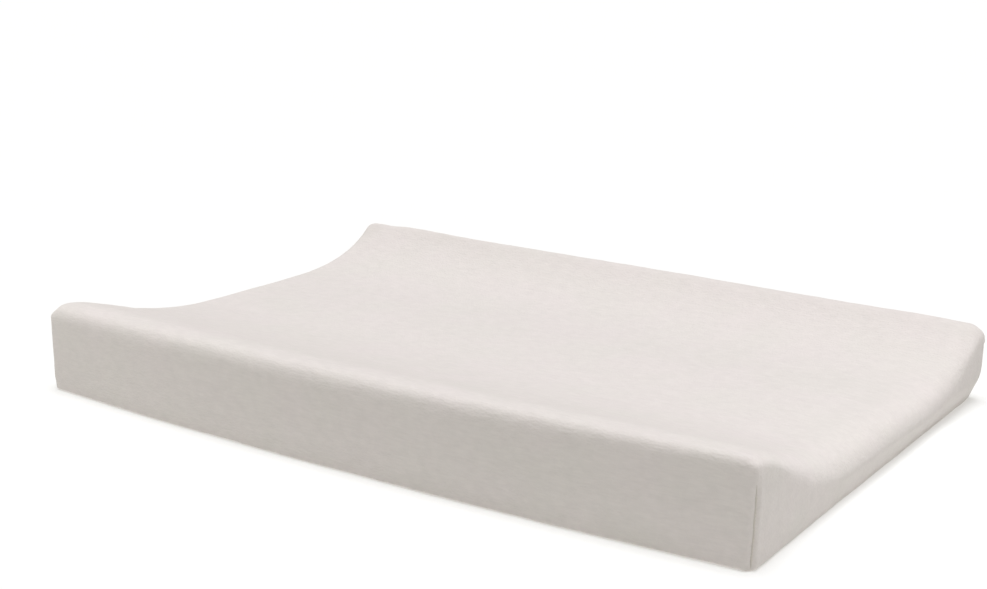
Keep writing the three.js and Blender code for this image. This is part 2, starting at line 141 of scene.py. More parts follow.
def height_at(node, x, y):
    """How high the top of a CAD node is above a point of the surface."""
    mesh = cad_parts[node].data
    vertices = [v.co for v in mesh.vertices]
    faces = [tuple(p.vertices) for p in mesh.polygons]
    hit = BVHTree.FromPolygons(vertices, faces).ray_cast(Vector((x, y, 1)), Vector((0, 0, -1)))
    return hit[0].z


TROUGH_HEIGHT = height_at("terry_cover", 0, 0)


def smooth(value, low=0.0, high=1.0):
    """0 below low, 1 above high, and an S-curve between them."""
    share = np.clip((value - low) / (high - low), 0, 1)
    return share * share * (3 - 2 * share)


def mix(a, b, share):
    return a + (b - a) * share


# ---------------------------------------------------------------- the contoured form


def side_bow(x):
    return SIDE_BOW * (1 - (x / (LENGTH / 2)) ** 2)


def top_height(x, y):
    """Height of the top before its edges are rounded. The rear rim droops to the right."""
    along = 0.5 + x / LENGTH
    half = CORNER_WIDTH / 2 + side_bow(x)
    shifted = y - HOLLOW_SHIFT * (1 - along) * (1 - (y / half) ** 2)
    climb = np.clip((np.abs(shifted) / half - FLAT_SHARE) / (CREST_SHARE - FLAT_SHARE), 0, 1)
    starts = np.where(shifted > 0, REAR_STARTS, FRONT_STARTS)
    ends = np.where(shifted > 0, REAR_ENDS, FRONT_ENDS)
    rise = 1 - (1 - climb**starts) ** ends
    to_right = 1 - np.clip(1 - along, 0, 1) ** DROOP_POWER
    droop = RIM_DROOP * to_right * smooth(y, 0, 0.5 * CORNER_WIDTH)
    return TROUGH_HEIGHT + (RIM_HEIGHT - TROUGH_HEIGHT) * rise - droop


def softness(u, v):
    """How round the top's edge is, against its usual rounding, at a place from -1 to 1 along each axis."""
    left = smooth(-u, -1, 1) * smooth(-v, 0, 1)
    right = smooth(u, 0.2, 1) * smooth(-v, 0.4, 1)
    middle = 1 - smooth(np.abs(v), 0.4, 0.97)
    ends = END_SOFTNESS * smooth(u, -0.2, 0.4) + FAR_SOFTNESS * smooth(-u, 0.2, 0.8)
    return 1 + LEFT_SOFTNESS * left + RIGHT_SOFTNESS * right + ends * middle


def settled(x, y, z):
    """Where a point of the form comes to lie as the soft pad fills its cover."""
    u = x / (LENGTH / 2)
    v = y / (CORNER_WIDTH / 2)
    drawn = END_DRAW * (0.5 + 0.5 * np.clip(v, -1, 1)) * (1 - smooth(z, 0, DRAW_HEIGHT))
    end = END_FULLNESS * np.maximum(u, 0) - drawn * np.clip(u, 0, 1) ** 4
    return x + end, y + SIDE_FULLNESS * v + SKEW * u * v * v


def tucked(x, y, z, inset):
    """The bottom corners drawn in diagonally, as the elastic pulls the cloth under them."""
    tuck = np.full(x.shape, TUCK_SOFTNESS)
    for name, (end, side) in CORNERS.items():
        tuck = np.where((x * end > 0) & (y * side > 0), CORNER_TUCK[name], tuck)
    room = LENGTH / 2 - np.abs(x) + CORNER_WIDTH / 2 + side_bow(x) - np.abs(y)
    drawn = tuck * (1 - np.clip(z / tuck, 0, 1)) ** TUCK_POWER
    limit = drawn + TUCK_INSET * inset + TUCK_SPREAD * room
    share = np.clip(0.5 + 0.5 * (limit - room) / TUCK_SOFTNESS, 0, 1)
    push = (mix(room, limit, share) + TUCK_SOFTNESS * share * (1 - share) - room) / 2
    return x - np.sign(x) * push, y - np.sign(y) * push


def form_points(flat, lean, inset, floor):
    """Points on the form. flat holds places between the rounded edges, from -1 to 1 along each axis. lean
    is the direction in which the surface is pushed out from there, before it is made one long."""
    out = lean / np.linalg.norm(lean, axis=-1, keepdims=True)
    upright = 1 - np.minimum(np.abs(lean[..., 2]), 1)
    corner = np.minimum(np.abs(lean[..., 0]), np.abs(lean[..., 1])) * upright
    soft = softness(flat[..., 0], flat[..., 1])
    under = smooth(-lean[..., 2], 0, 0.6)
    round_x = mix(END_ROUND * soft, BOTTOM_REACH, under)
    round_y = mix(SIDE_ROUND * soft, BOTTOM_REACH, under)
    round_x = np.maximum(mix(round_x, CORNER_ROUND, corner) - inset, LEAST_ROUND)
    round_y = np.maximum(mix(round_y, CORNER_ROUND, corner) - inset, LEAST_ROUND)
    round_top = np.maximum(TOP_ROUND * np.minimum(soft, MOST_SOFTNESS) - inset, LEAST_ROUND)
    round_bottom = max(BOTTOM_ROUND - inset, LEAST_ROUND)
    half_x = LENGTH / 2 - inset
    half_y = CORNER_WIDTH / 2 - inset
    x = flat[..., 0] * (half_x - round_x) + out[..., 0] * round_x
    y = flat[..., 1] * (half_y - round_y) + out[..., 1] * round_y
    y = y * (1 + side_bow(x) / half_y)
    low = floor + round_bottom
    high = top_height(x, y) - inset - round_top
    rounding = np.where(out[..., 2] > 0, round_top, round_bottom)
    z = mix(low, high, (flat[..., 2] + 1) / 2) + out[..., 2] * rounding
    x, y = settled(*tucked(x, y, z, inset), z)
    return np.stack([x, y, z], -1)


def divisions(straight, edge):
    """The place and the lean of each division along one axis, with edge divisions in each rounded edge."""
    bend = np.tan(np.linspace(1, 0, edge + 1)[:-1] * math.pi / 4)
    place = np.concatenate([-np.ones(edge), np.linspace(-1, 1, straight + 1), np.ones(edge)])
    lean = np.concatenate([-bend, np.zeros(straight + 1), bend[::-1]])
    return place, lean


EDGE_STEPS = 4
WALL_STEPS = 7
LAST_SPREAD = 0.12  # of the foot's last row, so that no points coincide
FOOT_ROWS = 2 * EDGE_STEPS
ALONG = divisions(2 * round(LENGTH / GRID / 2), EDGE_STEPS)
ACROSS = divisions(2 * round(CORNER_WIDTH / GRID / 2), EDGE_STEPS)
LAST_ALONG = len(ALONG[0]) - 1
LAST_ACROSS = len(ACROSS[0]) - 1
BEND = np.tan(np.linspace(0, 1, EDGE_STEPS + 1) * math.pi / 4)


def perimeter():
    """Grid places (along, across) round the edge of the top, anticlockwise from the front left corner."""
    front = [(i, 0) for i in range(LAST_ALONG)]
    right = [(LAST_ALONG, j) for j in range(LAST_ACROSS)]
    rear = [(i, LAST_ACROSS) for i in range(LAST_ALONG, 0, -1)]
    left = [(0, j) for j in range(LAST_ACROSS, 0, -1)]
    return front + right + rear + left


RING = perimeter()
RIGHT_MIDDLE = LAST_ALONG + LAST_ACROSS // 2
LEFT_MIDDLE = len(RING) - LAST_ACROSS // 2
HALVES = {
    "front": np.arange(LEFT_MIDDLE - len(RING), RIGHT_MIDDLE + 1),
    "rear": np.arange(RIGHT_MIDDLE, LEFT_MIDDLE + 1),
}


def top_patch(inset):
    i, j = np.meshgrid(np.arange(LAST_ALONG + 1), np.arange(LAST_ACROSS + 1), indexing="ij")
    one = np.ones(i.shape)
    flat = np.stack([ALONG[0][i], ACROSS[0][j], one], -1)
    lean = np.stack([ALONG[1][i], ACROSS[1][j], one], -1)
    return form_points(flat, lean, inset, 0)


def edge_row(inset, floor, height, lean_z=0.0, spread=1.0):
    """A row of points round the form. height runs from -1 at the foot of the wall to 1 at its top, lean_z
    turns the row over the edge above or below, and spread less than 1 turns it further."""
    i, j = np.array(RING).T
    one = np.ones(len(i))
    flat = np.stack([ALONG[0][i], ACROSS[0][j], height * one], -1)
    lean = np.stack([ALONG[1][i] * spread, ACROSS[1][j] * spread, lean_z * one], -1)
    return form_points(flat, lean, inset, floor)


def shoulder_rows(inset, floor):
    return [edge_row(inset, floor, 1, bend) for bend in BEND[-2:0:-1]]


def wall_rows(inset, floor, first, last, steps):
    return [edge_row(inset, floor, mix(first, last, share)) for share in np.linspace(0, 1, steps + 1)]


def foot_rows(inset, floor):
    """Rows that turn under at the foot. The last stops just short of flat."""
    outer = [edge_row(inset, floor, -1, -bend) for bend in BEND[1:]]
    return outer + [edge_row(inset, floor, -1, -1, spread) for spread in (*BEND[-2:0:-1], LAST_SPREAD)]


def side_rows(inset, floor):
    """All the rows below the top: over its edge, down the wall and under the foot."""
    wall = wall_rows(inset, floor, 1, -1, WALL_STEPS)
    return shoulder_rows(inset, floor) + wall + foot_rows(inset, floor)


def wall_place(inset, floor, z):
    """Where a height lies on the wall, from -1 to 1, all round."""
    foot = edge_row(inset, floor, -1)[:, 2]
    top = edge_row(inset, floor, 1)[:, 2]
    return 2 * (z - foot) / (top - foot) - 1


# ---------------------------------------------------------------- meshes


def linked(name, data):
    """A new object in the scene."""
    made = bpy.data.objects.new(name, data)
    bpy.context.scene.collection.objects.link(made)
    return made


def mesh_object(name, points, faces, material):
    mesh = bpy.data.meshes.new(name)
    mesh.from_pydata([tuple(p) for p in points], [], faces)
    mesh.validate()
    mesh.materials.append(material)
    mesh.shade_smooth()
    return linked(name, mesh)


def quad_strip(upper, lower):
    """Faces between two closed rows of vertices that hold as many."""
    count = len(upper)
    return [(upper[k], lower[k], lower[(k + 1) % count], upper[(k + 1) % count]) for k in range(count)]


def add_rows(points, faces, upper, rows):
    """Adds closed rows below the vertices named by upper, and returns the new points and faces."""
    all_points = [points]
    all_faces = list(faces)
    start = len(points)
    for row in rows:
        lower = list(range(start, start + len(row)))
        all_points.append(row)
        all_faces += quad_strip(upper, lower)
        upper = lower
        start += len(row)
    return np.concatenate(all_points), all_faces


def skin(patch, rows):
    """Points and faces of a top patch with rows of cloth hanging from its edge."""
    across = LAST_ACROSS + 1
    faces = [
        (i * across + j, (i + 1) * across + j, (i + 1) * across + j + 1, i * across + j + 1)
        for i in range(LAST_ALONG)
        for j in range(LAST_ACROSS)
    ]
    return add_rows(patch.reshape(-1, 3), faces, [i * across + j for i, j in RING], rows)


def sheet_of(rows):
    """Points and faces of a sheet whose rows aren't closed."""
    count = len(rows[0])
    faces = [
        (r * count + c, (r + 1) * count + c, (r + 1) * count + c + 1, r * count + c + 1)
        for r in range(len(rows) - 1)
        for c in range(count - 1)
    ]
    return np.concatenate(rows), faces


def tube(path, radius, sides, closed=False):
    """Points and faces of a round cord along a path, with its ends capped unless it closes on itself."""
    path = np.asarray(path, float)
    count = len(path)
    radii = np.broadcast_to(radius, (count,))
    if closed:
        ahead = np.roll(path, -1, axis=0) - np.roll(path, 1, axis=0)
    else:
        ahead = np.gradient(path, axis=0)
    ahead /= np.linalg.norm(ahead, axis=1, keepdims=True)
    aside = np.cross(ahead[0], (0.0, 0.0, 1.0) if abs(ahead[0][2]) < 0.9 else (1.0, 0.0, 0.0))
    asides = []
    for direction in ahead:
        aside = aside - direction * np.dot(aside, direction)
        aside = aside / np.linalg.norm(aside)
        asides.append(aside)
    asides = np.array(asides)
    others = np.cross(ahead, asides)
    turns = np.linspace(0, 2 * math.pi, sides, endpoint=False)[None, :, None]
    across = np.cos(turns) * asides[:, None] + np.sin(turns) * others[:, None]
    points = (path[:, None] + across * radii[:, None, None]).reshape(-1, 3)
    rings = count if closed else count - 1

    def vertex(ring, side):
        return ring % count * sides + side % sides

    faces = [
        (vertex(k, s), vertex(k, s + 1), vertex(k + 1, s + 1), vertex(k + 1, s))
        for k in range(rings)
        for s in range(sides)
    ]
    if not closed:
        faces.append(tuple(range(sides - 1, -1, -1)))
        faces.append(tuple(range((count - 1) * sides, count * sides)))
    return points, faces


def gathered(shapes):
    """Several lists of points and faces as one."""
    points = []
    faces = []
    start = 0
    for some_points, some_faces in shapes:
        points.append(some_points)
        faces += [tuple(v + start for v in face) for face in some_faces]
        start += len(some_points)
    return np.concatenate(points), faces


def evaluated_shape(made):
    """Points and faces of an object with its modifiers, which is then removed."""
    mesh = made.evaluated_get(bpy.context.evaluated_depsgraph_get()).data
    points = np.array([v.co for v in mesh.vertices])
    faces = [tuple(p.vertices) for p in mesh.polygons]
    bpy.data.objects.remove(made)
    return points, faces


def subdivided(points, faces):
    made = mesh_object("rounder", points, faces, None)
    made.modifiers.new("rounder", "SUBSURF").levels = 1
    return evaluated_shape(made)


def thickened(points, faces, thick):
    """A sheet given its thickness, on the side away from its faces."""
    made = mesh_object("thicker", points, faces, None)
    solid = made.modifiers.new("thicker", "SOLIDIFY")
    solid.thickness = thick
    solid.offset = -1
    return evaluated_shape(made)


def open_edge(faces):
    """The vertices along a mesh's one open edge, in order."""
    sides = {side for face in faces for side in zip(face, face[1:] + face[:1])}
    following = {a: b for a, b in sides if (b, a) not in sides}
    start = min(following)
    loop = [start]
    while following[loop[-1]] != start:
        loop.append(following[loop[-1]])
    return loop


def normals_of(points, faces):
    made = mesh_object("trial", points, faces, None)
    normals = np.array([n.vector for n in made.data.vertex_normals])
    bpy.data.objects.remove(made)
    return normals


def noise_at(points, size, seed):
    """Smooth noise from about -1 to 1, whose lumps are size across."""
    shift = Vector((seed, 2.7 * seed, 0.3 * seed))
    return np.array([noise.noise(Vector(p) / size + shift) for p in points])


def lengths_along(points):
    steps = np.linalg.norm(np.diff(points, axis=0), axis=1)
    return np.concatenate([[0], np.cumsum(steps)])


def evenly_spaced(points, step):
    """Points a step apart along a path."""
    along = lengths_along(points)
    places = np.linspace(0, along[-1], max(2, round(along[-1] / step) + 1))
    return np.stack([np.interp(places, along, points[:, axis]) for axis in range(3)], -1)


STITCH_PLACES = np.array([0.08, 0.22, 0.5, 0.78, 0.92])[:, None]  # along one stitch
STITCH_RISE = np.array([-1.0, 0.6, 1.0, 0.6, -1.0])[:, None]  # how far it stands out there
THREAD_SIDES = 6


def stitches(path, step, radius, lift):
    """A row of stitches along a path: each stands out by lift, and dips into the cloth at both ends."""
    shapes = []
    points = evenly_spaced(np.asarray(path), step)
    for start, end in zip(points[:-1], points[1:]):
        stitch = start + (end - start) * STITCH_PLACES + STITCH_RISE * np.asarray(lift)
        shapes.append(tube(stitch, radius, THREAD_SIDES))
    return gathered(shapes)


# ---------------------------------------------------------------- materials

TERRY_COLOR = (0.765, 0.716, 0.688)
# Darker than the cloth's own tone: painted shade of the groove that each corner seam lies in.
SEAM_SHADE_COLOR = (0.68, 0.63, 0.58)
HEM_THREAD_COLOR = (0.78, 0.74, 0.69)
ZIP_THREAD_COLOR = (0.8, 0.79, 0.76)
EVEN = (1, 1, 1)  # a pattern that isn't stretched
TO_EDGE = "DISTANCE_TO_EDGE"


def new_material(name):
    material = bpy.data.materials.new(name)
    material.use_nodes = True
    return material, material.node_tree


def set_socket(tree, socket, value):
    """Links a socket to another, or sets it to a number or a colour."""
    if isinstance(value, bpy.types.NodeSocket):
        tree.links.new(value, socket)
    elif isinstance(value, tuple) and len(value) == 3 and socket.type == "RGBA":
        socket.default_value = (*value, 1)
    else:
        socket.default_value = value


def add_node(tree, kind, inputs=(), **settings):
    """A shader node with its settings and its inputs."""
    made = tree.nodes.new("ShaderNode" + kind)
    for name, value in settings.items():
        setattr(made, name, value)
    for name, value in dict(inputs).items():
        set_socket(tree, made.inputs[name], value)
    return made


def place_of(tree, stretch):
    """The point of the surface in the object's own metres, multiplied by stretch along each axis."""
    coordinates = add_node(tree, "TexCoord")
    inputs = {"Vector": coordinates.outputs["Object"], "Scale": stretch}
    return add_node(tree, "Mapping", inputs).outputs["Vector"]


def noise_of(tree, scale, stretch=EVEN, detail=2.0, rough=0.5):
    inputs = {"Vector": place_of(tree, stretch), "Scale": scale, "Detail": detail, "Roughness": rough}
    return add_node(tree, "TexNoise", inputs).outputs["Fac"]


def cells_of(tree, scale, stretch=EVEN, randomness=1.0, feature="F1"):
    inputs = {"Vector": place_of(tree, stretch), "Scale": scale, "Randomness": randomness}
    return add_node(tree, "TexVoronoi", inputs, feature=feature).outputs["Distance"]


def wave_of(tree, scale, stretch, direction, distortion):
    inputs = {"Vector": place_of(tree, stretch), "Scale": scale, "Distortion": distortion}
    made = add_node(tree, "TexWave", inputs, wave_type="BANDS", bands_direction=direction)
    return made.outputs["Fac"]


def ramp(tree, value, low, high, low_color, high_color):
    made = add_node(tree, "ValToRGB", {"Fac": value})
    first, last = made.color_ramp.elements
    first.position, last.position = low, high
    first.color, last.color = (*low_color, 1), (*high_color, 1)
    return made.outputs["Color"]


def shades(tree, value, low, high, dark):
    return ramp(tree, value, low, high, (dark,) * 3, (1,) * 3)


def times(tree, a, b):
    """Two colours multiplied."""
    made = add_node(tree, "Mix", {"Factor": 1.0}, data_type="RGBA", blend_type="MULTIPLY")
    set_socket(tree, made.inputs[6], a)
    set_socket(tree, made.inputs[7], b)
    return made.outputs[2]


def mottled(tree, broad, low_color, high_color, fine, dark, broad_range=(0.3, 0.7), fine_range=(0.3, 0.7)):
    """A colour that goes from one tone to another with a broad pattern, darkened where a fine one is low."""
    return times(tree, ramp(tree, broad, *broad_range, low_color, high_color),
                 shades(tree, fine, *fine_range, dark))


def arithmetic(tree, operation, a, b):
    made = add_node(tree, "Math", operation=operation)
    set_socket(tree, made.inputs[0], a)
    set_socket(tree, made.inputs[1], b)
    return made.outputs[0]


def between(tree, value, low, high):
    return add_node(tree, "MapRange", {"Value": value, "To Min": low, "To Max": high}).outputs["Result"]


def finished(material, color, height, strength, distance, **constants):
    """The material with its colour, its bumps and its shader's own values."""
    tree = material.node_tree
    shader = tree.nodes["Principled BSDF"]
    bumps = add_node(tree, "Bump", {"Height": height, "Strength": strength, "Distance": distance})
    set_socket(tree, shader.inputs["Base Color"], color)
    set_socket(tree, shader.inputs["Normal"], bumps.outputs["Normal"])
    for name, value in constants.items():
        set_socket(tree, shader.inputs[name.replace("_", " ")], value)
    return material


def towelling(name, color):
    """Looped cotton: loops about 1.7 mm across, in rows along the pad, and a soft uneven tone."""
    material, tree = new_material(name)
    loops = cells_of(tree, 620, (0.6, 1, 1), 0.9)
    grain = noise_of(tree, 520, (0.16, 1, 1), 3, 0.6)
    tufts = noise_of(tree, 130, (0.75, 1, 1), 3, 0.55)
    patches = noise_of(tree, 17, EVEN, 3)
    greener = tuple(c * s for c, s in zip(color, (0.985, 1.0, 0.985)))
    toned = mottled(tree, patches, greener, color, grain, 0.95, (0.35, 0.65))
    toned = times(tree, toned, shades(tree, tufts, 0.3, 0.65, 0.965))
    pile = arithmetic(tree, "SUBTRACT", grain, loops)
    uneven = arithmetic(tree, "ADD", pile, arithmetic(tree, "MULTIPLY", tufts, 1.3))
    return finished(material, toned, uneven, 0.5, 0.45 * MM, Roughness=1.0, Specular_IOR_Level=0.12,
                    Sheen_Weight=0.2, Sheen_Roughness=0.55)


def thread(name, color):
    """Spun thread: fine twisted strands."""
    material, tree = new_material(name)
    strands = wave_of(tree, 900, EVEN, "DIAGONAL", 1.5)
    fuzz = noise_of(tree, 1500, EVEN, 2, 0.6)
    toned = mottled(tree, strands, tuple(c * 0.86 for c in color), color, fuzz, 0.92, (0.2, 0.8))
    return finished(material, toned, arithmetic(tree, "ADD", strands, fuzz), 0.5, 0.15 * MM,
                    Roughness=0.85, Specular_IOR_Level=0.25, Sheen_Weight=0.15)


def liner_film():
    """Coated cotton: a satin skin with a fine leather-like emboss over a faint weave, painted darker in the
    emboss's grooves as shade.
    """
    material, tree = new_material("embossed_film")
    creases = cells_of(tree, 520, feature=TO_EDGE)
    weave = noise_of(tree, 900, (0.3, 1, 1))
    clouds = noise_of(tree, 9, EVEN, 3)
    # Darker in the emboss's grooves, where its bumps dip: painted shade.
    toned = mottled(tree, clouds, (0.87, 0.885, 0.875), (0.9, 0.905, 0.885), creases, 0.9,
                    (0.35, 0.7), (0.0, 0.12))
    emboss = arithmetic(tree, "MINIMUM", creases, 0.22)
    height = arithmetic(tree, "ADD", emboss, arithmetic(tree, "MULTIPLY", weave, 0.12))
    return finished(material, toned, height, 0.35, 0.4 * MM, Roughness=between(tree, clouds, 0.36, 0.5),
                    Specular_IOR_Level=0.45)


def open_foam():
    """Polyether foam: a sponge of open cells about a millimetre across, painted darker in its hollows as
    shade.
    """
    material, tree = new_material("open_foam")
    cells = cells_of(tree, 950, feature=TO_EDGE)
    pits = cells_of(tree, 330)
    age = noise_of(tree, 6, EVEN, 3)
    # Darker along the cells' borders, where the bumps dip: painted shade.
    toned = mottled(tree, age, (0.85, 0.75, 0.49), (0.88, 0.81, 0.58), cells, 0.74,
                    fine_range=(0.0, 0.16))
    # Darker in the pits: painted shade.
    toned = times(tree, toned, shades(tree, pits, 0.05, 0.4, 0.82))
    height = arithmetic(tree, "ADD", cells, arithmetic(tree, "MULTIPLY", pits, 0.5))
    return finished(material, toned, height, 0.7, 0.6 * MM, Roughness=1.0, Specular_IOR_Level=0.1)


def woven_tape():
    """Twilled polyester: slanting ribs over fine cross threads."""
    material, tree = new_material("twilled_tape")
    twill = wave_of(tree, 420, (1, 1, 0), "DIAGONAL", 0.4)
    threads = wave_of(tree, 640, EVEN, "Y", 0.6)
    fuzz = noise_of(tree, 1200)
    toned = mottled(tree, twill, (0.7, 0.69, 0.66), (0.81, 0.8, 0.77), fuzz, 0.93, (0.2, 0.8))
    height = arithmetic(tree, "ADD", twill, arithmetic(tree, "MULTIPLY", threads, 0.6))
    return finished(material, toned, height, 0.6, 0.25 * MM, Roughness=0.8, Specular_IOR_Level=0.3,
                    Sheen_Weight=0.15)


def nylon():
    """Drawn nylon: nearly smooth, a little milky, with faint draw lines."""
    material, tree = new_material("drawn_nylon")
    lines = noise_of(tree, 1400, (1, 0.2, 0.2))
    clouds = noise_of(tree, 60)
    toned = mottled(tree, clouds, (0.77, 0.76, 0.71), (0.82, 0.81, 0.77), lines, 0.95)
    return finished(material, toned, lines, 0.2, 0.05 * MM, Roughness=0.42, Specular_IOR_Level=0.5,
                    Subsurface_Weight=0.15, Subsurface_Scale=0.5 * MM)


def nickel():
    """Nickel plate: fine rubbing marks, and duller where fingers and the chain wear it."""
    material, tree = new_material("nickel_plate")
    rubbing = noise_of(tree, 2600, (0.08, 1, 1), 3, 0.6)
    wear = noise_of(tree, 260, EVEN, 4, 0.6)
    toned = mottled(tree, wear, (0.55, 0.54, 0.53), (0.69, 0.69, 0.7), rubbing, 0.92, (0.35, 0.7))
    return finished(material, toned, rubbing, 0.15, 0.05 * MM, Roughness=between(tree, wear, 0.2, 0.42),
                    Metallic=1.0)


def knitted_elastic():
    """Braided elastic: rubber cords under a fine knit of white yarn."""
    material, tree = new_material("knitted_elastic")
    one_way = wave_of(tree, 330, EVEN, "X", 0.5)
    other_way = wave_of(tree, 330, EVEN, "Y", 0.5)
    knit = arithmetic(tree, "MULTIPLY", one_way, other_way)
    fuzz = noise_of(tree, 1100)
    toned = mottled(tree, knit, (0.76, 0.75, 0.71), (0.88, 0.87, 0.83), fuzz, 0.94, (0.0, 0.6))
    return finished(material, toned, knit, 0.5, 0.25 * MM, Roughness=0.8, Specular_IOR_Level=0.3)


def satin():
    """Satin ribbon: long floats that shine across the weave."""
    material, tree = new_material("satin_ribbon")
    floats = noise_of(tree, 1700, (0.12, 1, 1), 2, 0.6)
    tone = noise_of(tree, 120)
    toned = mottled(tree, tone, (0.89, 0.88, 0.86), (0.93, 0.92, 0.9), floats, 0.94)
    return finished(material, toned, floats, 0.3, 0.08 * MM, Roughness=0.38, Specular_IOR_Level=0.5,
                    Sheen_Weight=0.3, Anisotropic=0.5)


# ---------------------------------------------------------------- the fitted cover

COVER_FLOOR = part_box("cover_hem")[0].z
CLOTH_FRAMES = 20
CLOTH = {
    "quality": 6,
    "mass": 0.35,
    "tension_stiffness": 20,
    "compression_stiffness": 20,
    "shear_stiffness": 8,
    "bending_stiffness": 1.5,
    "vertex_group_mass": "held",
    "use_pressure": True,
    "uniform_pressure_force": 4,
}
MOST_SWELL = 2.5 * MM  # the most that the simulation may move a point
MOST_SINK = 0.8 * MM  # and the most that it may move it inwards
HEM_SAG = 0.5 * MM  # the turned-under cloth's height at the opening
HEM_WAVE = 1.2 * MM
GATHERS = 96  # folds that the elastic makes round the opening
GATHER_WANDER = 5  # how far, in radians, the folds stray from even spacing
TURNED_TOP = 6.3 * MM  # of the hem folded back over the elastic
FOLD_REACH = 0.4  # how far the fold stands in past the opening, as a share of its height
HEM_STEPS = 10
FOLD_STEPS = 6
TURNED_STEPS = 4
WAVE_HEIGHT = 0.8 * MM  # of the cloth's soft waves
WAVE_SIZE = 85 * MM
DIMPLE_HEIGHT = 0.3 * MM
DIMPLE_SIZE = 24 * MM
TUFT_HEIGHT = 0.16 * MM
TUFT_SIZE = 8 * MM
SEAM_WIDTH = 2.4 * MM
SEAM_DEPTH = 1.3 * MM
SEAM_RADIUS = 0.8 * MM
SEAM_START = 2 * MM  # above the surface that the pad lies on
SEAM_END = 9 * MM  # below the rim
SEAM_STEP = 0.65 * MM
SEAM_STITCH = 2.6 * MM  # from one stitch to the next
SEAM_PINCH = 0.14  # how much the stitches narrow it
LOWER_TAPER = 8 * MM  # over which the seam thins out at its foot
UPPER_TAPER = 10 * MM
SEAM_SIDES = 8
SEAM_NEAR = 60 * MM  # points further from a seam than this aren't moved by it
PUFF_HEIGHT = 0.5 * MM  # of the cloth beside the seam
PUFF_PLACE = 4.5 * MM
PUFF_WIDTH = 2.2 * MM
ELASTIC_RIBS = 6
RIB_HEIGHT = 0.14 * MM
BAND_THICK = 0.8 * ELASTIC_THICK  # between its ribs
BAND_GAP = 0.15 * MM
LABEL_THICK = 0.18 * MM
LABEL_CURL = 0.22 * MM
LABEL_HEIGHT = 0.42 * MM  # of its underside where it is sewn
LABEL_RISE = 0.12 * MM  # from there to its free part
LABEL_SEWN = 4 * MM  # how far the label reaches into the hem
LABEL_SEAM = 2.5 * MM  # how far inside the hem its stitches lie
HEM_STITCH = 3.4 * MM
HEM_THREAD = 0.24 * MM
LABEL_STITCH = 2.6 * MM
LABEL_THREAD = 0.16 * MM


def swelled(points, faces, held):
    """The cloth blown out a little, as the foam presses it from inside. Its held points stay in place."""
    made = mesh_object("trial_cloth", points, faces, None)
    made.vertex_groups.new(name="held").add(held, 1.0, "REPLACE")
    cloth = made.modifiers.new("cloth", "CLOTH")
    for name, value in CLOTH.items():
        setattr(cloth.settings, name, value)
    cloth.settings.effector_weights.gravity = 0
    cloth.point_cache.frame_end = CLOTH_FRAMES
    for moment in range(1, CLOTH_FRAMES + 1):
        bpy.context.scene.frame_set(moment)
    moved, _ = evaluated_shape(made)
    bpy.context.scene.frame_set(1)
    offset = moved - points
    normals = normals_of(points, faces)
    outwards = np.sum(offset * normals, axis=1, keepdims=True)
    offset += normals * (np.maximum(outwards, -MOST_SINK) - outwards)
    reach = np.maximum(np.linalg.norm(offset, axis=1, keepdims=True), 1e-9)
    return points + offset / reach * MOST_SWELL * np.tanh(reach / MOST_SWELL)


def opening_edge(row, margin=0.0):
    """The nearest points of the cover's opening, moved outwards by margin."""
    return rounded_outline(row, OPENING_X + margin, OPENING_Y + margin, OPENING_RADIUS + margin)


def rounded_outline(row, half_x, half_y, radius):
    """The nearest points to a row of points on a rectangle with rounded corners."""
    reach = np.array([half_x, half_y]) - radius
    core = np.clip(row[:, :2], -reach, reach)
    away = row[:, :2] - core
    return core + away / np.linalg.norm(away, axis=1, keepdims=True) * radius


def at_height(places, z):
    return np.column_stack([places, np.broadcast_to(z, len(places))])


def gather_wave(row):
    """From 0 to 1 along the opening's edge: uneven folds of the cloth that the elastic has drawn in."""
    edge = at_height(opening_edge(row), 0)
    along = lengths_along(np.vstack([edge, edge[:1]]))
    wander = noise_at(edge, 110 * MM, 3)
    strength = 0.8 + 0.5 * noise_at(edge, 70 * MM, 8)
    folds = np.sin(2 * math.pi * GATHERS * along[:-1] / along[-1] + GATHER_WANDER * wander)
    return np.clip(0.5 + 0.5 * strength * folds, 0, 1)


def hem_rows(last, wave):
    """The cloth from the foot of the wall inwards to the opening, round the elastic and back."""
    lowest = HEM_SAG + HEM_WAVE * wave
    rows = []
    for share in np.linspace(0, 1, HEM_STEPS + 1)[1:]:
        places = mix(last[:, :2], opening_edge(last), share)
        rows.append(at_height(places, mix(last[:, 2], HEM_SAG, share) + HEM_WAVE * wave * share**2))
    fold = (TURNED_TOP - lowest) / 2
    for turn in np.linspace(0, math.pi, FOLD_STEPS + 1)[1:]:
        places = opening_edge(last, -FOLD_REACH * (TURNED_TOP - HEM_SAG) / 2 * math.sin(turn))
        rows.append(at_height(places, lowest + fold * (1 - math.cos(turn))))
    for share in np.linspace(0, 1, TURNED_STEPS + 1)[1:]:
        rows.append(at_height(opening_edge(last, CASING_WIDTH * share), TURNED_TOP))
    return rows


def corner_paths(points):
    """The edge of the cloth at each corner, from its foot up to the rim."""
    patch = (LAST_ALONG + 1) * (LAST_ACROSS + 1)
    row_count = (len(points) - patch) // len(RING)
    paths = {}
    for name, (end, side) in CORNERS.items():
        i = LAST_ALONG if end > 0 else 0
        j = LAST_ACROSS if side > 0 else 0
        place = RING.index((i, j))
        path = [points[patch + row * len(RING) + place] for row in reversed(range(row_count))]
        path.append(points[i * (LAST_ACROSS + 1) + j])
        top = path[-1][2] - SEAM_END
        above_foot = [p for p in path if SEAM_START < p[2] < top]
        paths[name] = evenly_spaced(np.array(above_foot), SEAM_STEP)
    return paths


